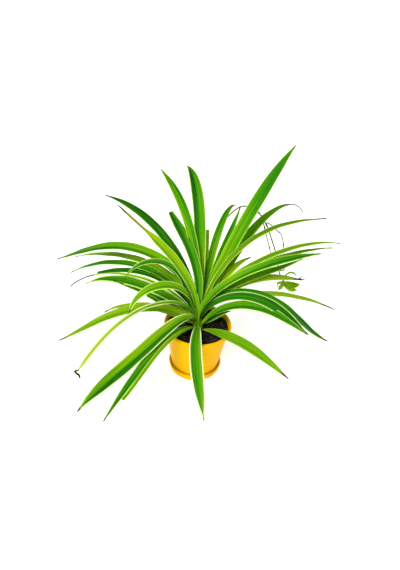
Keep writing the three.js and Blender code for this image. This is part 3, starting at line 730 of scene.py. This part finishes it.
def leafSurface(row, start, build, seed):
    # two parameters: s runs from foot to tip, c from -1 at the right edge to 1 at the left one.
    # the section is a soft V whose edges curl back a little, about twice as thick at the rib as near
    # the edges, carried along the midrib, which is laid out by adding up short steps of its slope
    length, width = row[3:5]
    rng = np.random.default_rng(seed)
    s = np.linspace(0, 1, build["rows"])
    steps, _, _ = leafAxes(row, (s[1:] + s[:-1]) / 2, build)
    line = np.vstack([np.zeros(3), np.cumsum(steps, 0) * length / (len(s) - 1)]) + start
    _, across, out = leafAxes(row, s, build)
    c = np.concatenate([-np.array(build["columns"])[:0:-1], build["columns"]])
    half = leafWidth(s, width, row[7], tipShape)[:, None] / 2
    fold = np.radians(np.interp(s, *zip(*build["folds"])))[:, None]
    keel = build["keelRound"]
    softV = (np.sqrt(c * c + keel) - math.sqrt(keel)) / (math.sqrt(1 + keel) - math.sqrt(keel))
    sideways = half * c * np.cos(fold)
    curl = build["curl"] * smoothStep(*build["curlStart"], s)[:, None] * half * c ** 4
    phases = rng.uniform(0, 2 * math.pi, 2)
    wave = np.sin(s[:, None] * length * 2 * math.pi / build["rippleLength"] + np.where(c > 0, *phases))
    swell = build["rippleHeight"] * smoothStep(*build["rippleStart"], s)
    swell = swell * (1 - smoothStep(*build["rippleEnd"], s))
    upwards = half * np.sin(fold) * softV - curl + swell[:, None] * c ** 2 * wave
    rib, edge = build["ribThickness"], build["edgeThickness"]
    thin = (1 - build["tipThinning"] * s)[:, None] * (1 - np.abs(c) ** 6)
    depth = thin * (edge + (rib - edge) * (1 - np.abs(c))) / 2
    # where the leaf is only a thread it is nearly round
    thread = 1 - smoothStep(*build["threadHalf"], half)
    nearlyRound = build["threadDepth"] * half * np.sqrt(np.maximum(1 - c * c, 0))
    depth = depth * (1 - thread) + nearlyRound * thread
    middle = line[:, None] + across[:, None] * sideways[..., None]
    upper = middle + out[:, None] * (upwards + depth)[..., None]
    lower = middle + out[:, None] * (upwards - depth)[..., None]
    ring = np.concatenate([upper, lower[:, -2:0:-1]], 1)
    acrossRing = np.concatenate([c, c[-2:0:-1]])
    underRing = np.concatenate([np.zeros(len(c)), np.ones(len(c) - 2)])
    return s, line, half[:, 0], ring, acrossRing, underRing


def leafFaces(rows, columns, around, pointed):
    # quads along the blade, a strip that closes the foot, and a strip or a point at the other end
    faces = ringFaces(rows - (1 if pointed else 0), around)
    top = np.arange(columns)
    bottom = np.concatenate([[0], np.arange(around - 1, columns - 1, -1), [columns - 1]])
    strip = [[int(v) for v in dict.fromkeys((top[i + 1], top[i], bottom[i], bottom[i + 1]))]
             for i in range(columns - 1)]
    faces = faces.tolist() + strip
    if pointed:
        end, tip = (rows - 2) * around, (rows - 1) * around
        faces += [[end + i, end + (i + 1) % around, tip] for i in range(around)]
    else:
        end = (rows - 1) * around
        faces += [[end + v for v in reversed(f)] for f in strip]
    return faces


def makeBlade(name, row, start, build, look, seed, leftHalfPaintedShade, outerDarker, fade=0):
    # the surface with what its material reads: mm from the rib and the edge, tone, dryness and so on
    length = row[3]
    pointed = row[7] not in ("cut", "blunt")
    tone, edgeWidth, pale, dryShare = row[8:12]
    s, line, half, ring, acrossRing, underRing = leafSurface(row, start, build, seed)
    rows, around = ring.shape[:2]
    columns = (around + 2) // 2
    points = ring.reshape(-1, 3)
    s, c, half = np.repeat(s, around), np.tile(acrossRing, rows), np.repeat(half, around)
    if pointed:
        keep = (rows - 1) * around + 1
        points = points[:keep].copy()
        points[-1] = line[-1]
        s, c, half = s[:keep], c[:keep], half[:keep]
    under = np.tile(underRing, rows)[:len(points)]
    dry = smoothStep(1 - look["dryReach"] * dryShare, 1, s) if dryShare else 0 * s
    dry = dry + fade * smoothStep(*look["fading"], s)
    if row[7] == "waisted":
        dry = dry + look["waistDry"] * smoothStep(*look["waistDrying"], s)
    if row[7] == "whisker":
        dry = dry + smoothStep(*look["whiskerDrying"], s)
    # wide pale edges start at the foot, narrow ones and those of a strap further out
    early = edgeWidth > look["wideEdge"] and row[7] != "strap"
    edgeStart = smoothStep(*look["wideEdgeStart" if early else "edgeStart"], s)
    # the tone carries painted shade: one half of the folded leaf darker, the other lighter
    tones = (tone + look["footLighter"] * (1 - smoothStep(*look["foot"], s))
             - outerDarker * smoothStep(look["outerFrom"], 1, s)
             - leftHalfPaintedShade * np.tanh(look["halvesMeet"] * c))
    attributes = {
        "fromRib": half * c, "fromEdge": half * (1 - np.abs(c)), "along": s * length,
        "seed": seed * look["seedStep"], "tone": tones, "pale": pale, "under": under,
        "dry": np.minimum(dry, 1),
        "edgeWidth": edgeWidth * np.minimum(1, half / look["fullEdgeHalf"]) * edgeStart,
    }
    faces = leafFaces(rows, columns, around, pointed)
    uv = np.stack([(c + 1) / 2, s], -1)
    return addMesh(name, points * mm, faces, leafMaterial, uv, attributes, sharpAngle=60), line[-1]


def leafStart(row, build):
    # a point on half an egg, from its side round the upright axis and its rise over level
    side, rise = np.radians(row[6])
    r = build["heartRadius"] * math.cos(rise)
    return np.array([r * math.cos(side), r * math.sin(side),
                     build["soilTop"] + build["heartHeight"] * math.sin(rise)])


leafEnds = {}
for number, (name, row) in enumerate(leaves.items()):
    blade, leafEnds[name] = makeBlade(
        "blade_" + name, row, leafStart(row, leafBuild), leafBuild, leafLook, number + 1,
        halfPaintedShade.get(name, leafLook["leftHalfPaintedShade"]), outerDark.get(name, leafLook["outerDarker"]),
        faded.get(name, 0))
    finishPiece(blade, "leaf", "leaf_" + name)
print("leaves made:", len(leaves))


crownShape = {
    "radius": 7.6, "height": 23, "soilTop": 82, "sink": 3, "ridges": 9, "ridgeDepth": 0.09, "twist": 2.2,
    "rows": 30, "around": 120, "topShare": 0.985, "topRise": 0.2,  # where the rows end, and mm to the tip
    "look": {"fromEdge": 5.0, "seed": 3.0, "edgeWidth": 0.5, "pale": 0.5, "under": 0.3, "dry": 0.0},
    "footTone": 0.8, "toneLoss": 0.02,  # tone at the soil, and what it loses in a mm upwards
}


def makeCrown(shape):
    # half an egg with upright ridges, one for each clasped leaf base: the radius at a height is
    # that of an ellipse, and swells and shrinks with the angle, twisting a little on its way up
    rows, around, depth = shape["rows"], shape["around"], shape["ridgeDepth"]
    h = np.linspace(0, shape["topShare"], rows)[:, None]
    angle = np.linspace(0, 2 * math.pi, around, endpoint=False)
    ridge = np.abs(np.sin(shape["ridges"] * angle / 2 + shape["twist"] * h))
    radius = shape["radius"] * np.sqrt(1 - h * h) * (1 - depth + 2 * depth * ridge)
    foot = shape["soilTop"] - shape["sink"]
    z = foot + (shape["height"] + shape["sink"]) * h
    points = ringPoints(radius, z, around).reshape(-1, 3)
    points = np.vstack([points, [0, 0, foot], [0, 0, z[-1, 0] + shape["topRise"]]])
    tones = shape["footTone"] - shape["toneLoss"] * (points[:, 2] - shape["soilTop"])
    attributes = dict(shape["look"], fromRib=points[:, 0], along=points[:, 2], tone=tones)
    piece = addMesh("leafBaseCrown", points * mm, closedFaces(rows, around), leafMaterial,
                    attributes=attributes)
    finishPiece(piece, "leaf_base", "crown")


makeCrown(crownShape)


runnerShape = {
    "radius": 1.4, "tipRadius": 1.15, "steps": 240,
    "knots": ((0.36, 0.62, 0.7, 0.86), 0.006, 0.5),  # places along it, length and swelling
    "sideRadius": 1.15, "sideThinning": 0.35, "sideSteps": 90,
    "knotsLeft": ((0.35, 0.7), 0.02, 0.7), "knotsRight": ((0.55, 0.8), 0.02, 0.7),
    # points in mm, from the crown and from the stem to the free ends
    "main": [(7, 13, 110), (5, 25.9, 118.5), (8.4, 44.5, 142.3), (13.3, 66.6, 169.2),
             (19.8, 90.4, 197.2), (27.1, 111.8, 217.2), (48.2, 118.7, 242), (65.5, 116.9, 248.1),
             (82.7, 115.1, 240.4), (97, 104, 226), (109, 101, 202), (121, 98, 174), (131, 92, 142),
             (140, 91, 126.7)],
    "sideLeft": [(90.8, 105.6, 231), (92.5, 105.3, 227), (95.5, 105, 219), (101, 105, 203),
                 (108, 104, 185), (113, 105, 169), (115, 103, 160)],
    "sideRight": [(98.6, 104.1, 228), (103, 108, 224.5), (109, 112, 219), (120, 116, 208),
                  (128, 116, 200), (134, 113, 180), (135, 106, 167)],
}


def smoothPath(points, count):
    # a smooth cubic curve through given points, sampled evenly in its parameter
    p = np.asarray(points, float)
    p = np.vstack([2 * p[0] - p[1], p, 2 * p[-1] - p[-2]])
    t = np.linspace(0, len(points) - 1 - 1e-9, count)
    i = t.astype(int)
    u = (t - i)[:, None]
    a, b, c, d = p[i], p[i + 1], p[i + 2], p[i + 3]
    square, cube = 2 * a - 5 * b + 4 * c - d, 3 * b - a - 3 * c + d
    return 0.5 * (2 * b + (c - a) * u + square * u ** 2 + cube * u ** 3)


def makeStem(name, path, radii, material, around=12):
    # a round section carried along the path on axes that turn as little as they can
    tangent = np.gradient(path, axis=0)
    tangent /= np.linalg.norm(tangent, axis=1)[:, None]
    side = np.empty_like(path)
    side[0] = np.cross(tangent[0], (0, 1, 0.2))  # crossed with a way that no stem starts along
    for i in range(1, len(path)):
        side[i] = side[i - 1] - tangent[i] * (side[i - 1] @ tangent[i])
    side /= np.linalg.norm(side, axis=1)[:, None]
    other = np.cross(tangent, side)
    angle = np.linspace(0, 2 * math.pi, around, endpoint=False)[None, :, None]
    section = side[:, None] * np.cos(angle) + other[:, None] * np.sin(angle)
    ring = path[:, None] + radii[:, None, None] * section
    points = np.vstack([ring.reshape(-1, 3), path[0], path[-1]])
    return addMesh(name, points * mm, closedFaces(len(path), around), material)


def knots(s, places, length, swelling):
    # a smooth swelling of the radius at each place along the stem
    return 1 + swelling * sum(np.exp(-((s - place) / length) ** 2) for place in places)


# shrivelled black ends: the leaf, points beside its tip, and the radius at both ends
driedEnds = {
    "hook": ("left_13", [(3, 0, 4), (-2.5, 0, 1.5), (0, 0, -3), (3, 0, -6), (4.5, -1, -11)], (1.3, 1.9)),
    "prongLong": ("right_9", [(-9, 0, 0.5), (-2, 0, 0.2), (5, 0, 0.4)], (2.0, 0.7)),
    "prongShort": ("right_9", [(-8, 0, 0), (-4, 0, 3), (-2, 0, 8)], (1.4, 0.5)),
}
driedShape = {"steps": 40, "round": (0.12, 0.8), "around": 8}  # start and span on half a sine wave


def makeDriedEnds(rows, shape):
    # the radius goes evenly from one end to the other, times the root of a sine that narrows both
    s = np.linspace(0, 1, shape["steps"])
    start, span = shape["round"]
    for name, (leaf, places, (first, last)) in rows.items():
        path = smoothPath(leafEnds[leaf] + np.array(places, float), shape["steps"])
        radii = (first + (last - first) * s) * np.sin(math.pi * (start + span * s)) ** 0.5
        piece = makeStem("driedEnd_" + name, path, radii, crumbMaterials["driedLeafEnd"], shape["around"])
        finishPiece(piece, "leaf")


def makeRunner(shape):
    # the stem and its strands thin evenly from end to end, and swell at their knots
    s = np.linspace(0, 1, shape["steps"])
    radii = (shape["radius"] + (shape["tipRadius"] - shape["radius"]) * s) * knots(s, *shape["knots"])
    stem = makeStem("runnerStem", smoothPath(shape["main"], shape["steps"]), radii, runnerMaterial)
    finishPiece(stem, "runner_stem", "runner")
    s = np.linspace(0, 1, shape["sideSteps"])
    for side in ("Left", "Right"):
        radii = shape["sideRadius"] * (1 - shape["sideThinning"] * s) * knots(s, *shape["knots" + side])
        path = smoothPath(shape["side" + side], shape["sideSteps"])
        strand = makeStem("runnerStrand" + side, path, radii, runnerMaterial)
        finishPiece(strand, "runner_stem", "runner_side_" + side.lower())


# small dry scales where the side strands leave: their points, and the radius at both ends
runnerScales = {
    "right": ([(120, 98, 176), (126, 97, 172), (131, 97, 177)], (0.9, 0.4)),
    "left": ([(121, 98, 174), (117, 98, 169), (112, 98, 168)], (0.7, 1.5)),
    "low": ([(130, 92, 146), (136, 92, 146), (139, 92, 151)], (0.8, 1.4)),
}
scaleShape = {"steps": 30, "open": 0.02, "around": 8}  # what is left of the roundness at the last end


def makeScales(rows, shape):
    # the radius goes evenly from one end to the other, and closes late, with the fourth power
    s = np.linspace(0, 1, shape["steps"])
    for name, (places, (first, last)) in rows.items():
        radii = (first + (last - first) * s) * np.sqrt(1 + shape["open"] - s ** 4)
        path = smoothPath(places, shape["steps"])
        scale = makeStem("runnerScale_" + name, path, radii, runnerMaterial, shape["around"])
        finishPiece(scale, "runner_stem")


makeDriedEnds(driedEnds, driedShape)
makeRunner(runnerShape)
makeScales(runnerScales, scaleShape)


plantletShape = {
    "centre": (141, 91, 120), "radius": 4, "height": 6, "ribs": 5, "ribDepth": 0.08,
    "rows": 24, "around": 40, "reach": 0.49,  # half turns from the middle to the last row
    "outerDarker": 0.22, "firstSeed": 60,
    "look": {"fromEdge": 5.0, "seed": 5.0, "tone": 0.75, "edgeWidth": 0.3, "pale": 0.4, "under": 0.3,
             "dry": 0.1},
    "leafBuild": {"rows": 40, "ribThickness": 0.6, "edgeThickness": 0.3, "rippleLength": 16},
}
plantletLeaves = {
    "1": (5, 10, (0, -14, 0, 14), 31, 13, (35, 35), (0, 0), "usual", 0.72, 0.5, 0.4, 0.04),
    "2": (0, 0, (75, 80, 10, -80), 42, 4.5, (20, 20), (0, 0), "strap", 0.85, 0.5, 0.4, 0.05),
    "3": (190, -10, (30, 0, -70, -120), 17, 5, (-20, -20), (0, 0), "usual", 0.80, 0.8, 0.6, 0.08),
    "4": (235, 0, (-10, -30, -30, -10), 15, 8, (-20, -20), (0, 0), "usual", 0.90, 0.8, 0.6, 0.05),
    "5": (325, 20, (-14, -20, -2, 14), 27, 13, (20, 20), (0, 0), "usual", 0.80, 0.5, 0.4, 0.05),
}


def makePlantlet(shape, rows):
    # an egg of clasped young leaf bases with upright ribs, and its leaves starting from its middle
    around, tall = shape["around"], shape["rows"]
    latitude = np.linspace(-shape["reach"] * math.pi, shape["reach"] * math.pi, tall)[:, None]
    angle = np.linspace(0, 2 * math.pi, around, endpoint=False)
    swell = 1 + shape["ribDepth"] * np.cos(shape["ribs"] * angle)
    egg = ringPoints(shape["radius"] * np.cos(latitude) * swell, shape["height"] * np.sin(latitude), around)
    centre, pole = np.array(shape["centre"], float), np.array([0, 0, shape["height"]])
    points = np.vstack([egg.reshape(-1, 3) + centre, centre - pole, centre + pole])
    attributes = dict(shape["look"], fromRib=points[:, 0] - centre[0], along=points[:, 2])
    heart = addMesh("plantletHeart", points * mm, closedFaces(tall, around), leafMaterial,
                    attributes=attributes)
    finishPiece(heart, "young_leaf", "plantlet")
    build = dict(leafBuild, **shape["leafBuild"])
    for number, (name, row) in enumerate(rows.items()):
        blade, _ = makeBlade("plantletBlade_" + name, row, centre, build, leafLook,
                             shape["firstSeed"] + number, leafLook["leftHalfPaintedShade"], shape["outerDarker"])
        finishPiece(blade, "young_leaf", "plantlet_leaf_" + name)


makePlantlet(plantletShape, plantletLeaves)
print("crown, runner and plantlet made")


# an opal table that is lit from below as well
stageShape = {"half": 9.0, "floor": "#f4f4f3", "light": "#ffffff", "glow": 0.6}  # m


def makeStage(shape):
    # one square; acrylic sheet, matt white: an even surface without a gloss of its own
    h = shape["half"]
    mesh = bpy.data.meshes.new("paleFloor")
    mesh.from_pydata([(-h, -h, 0), (h, -h, 0), (h, h, 0), (-h, h, 0)], [], [(0, 1, 2, 3)])
    material, tree = newMaterial("mattPaleFloor")
    finishMaterial(tree, {"Base Color": linear(shape["floor"]), "Roughness": 0.9, "Specular IOR Level": 0.1,
                           "Emission Color": linear(shape["light"]), "Emission Strength": shape["glow"]}, {})
    mesh.materials.append(material)
    floor = bpy.data.objects.new("paleFloor", mesh)
    bpy.context.scene.collection.objects.link(floor)


lights = {
    # way towards the light, softness in degrees, strength, colour
    "key": ((-0.42, -0.80, 0.95), 22, 2.7, "#fffaf0"),
    "fill": ((0.9, -0.35, 0.8), 40, 0.5, "#f4f8ff"),
}


def makeLights(rows):
    # far away softboxes: their light is as strong everywhere, so only the way they point counts
    for name, (way, softness, strength, colour) in rows.items():
        data = bpy.data.lights.new(name, "SUN")
        data.angle = math.radians(softness)
        data.energy = strength
        data.color = linear(colour)[:3]
        lamp = bpy.data.objects.new(name, data)
        lamp.rotation_euler = Vector(way).to_track_quat("Z", "Y").to_euler()
        bpy.context.scene.collection.objects.link(lamp)


backdropShape = {"colour": "#ffffff", "light": 0.3, "looks": 1.0}


def makeWorld(shape):
    # the backdrop is seen white, but it lights the plant only softly
    world = bpy.data.worlds.new("paleStudio")
    world.use_nodes = True
    tree = world.node_tree
    tree.nodes.clear()
    rays = addNode(tree, "ShaderNodeLightPath")
    lighting, seen = [addNode(tree, "ShaderNodeBackground",
                              values={"Color": linear(shape["colour"]), "Strength": shape[key]})
                      for key in ("light", "looks")]
    blend = addNode(tree, "ShaderNodeMixShader",
                    links={0: rays.outputs["Is Camera Ray"], 1: lighting.outputs[0], 2: seen.outputs[0]})
    addNode(tree, "ShaderNodeOutputWorld", links={"Surface": blend.outputs[0]})
    bpy.context.scene.world = world


makeStage(stageShape)
makeLights(lights)
makeWorld(backdropShape)
bpy.context.scene.view_settings.view_transform = "Standard"
bpy.context.scene.view_settings.look = "None"

bpy.context.view_layer.update()
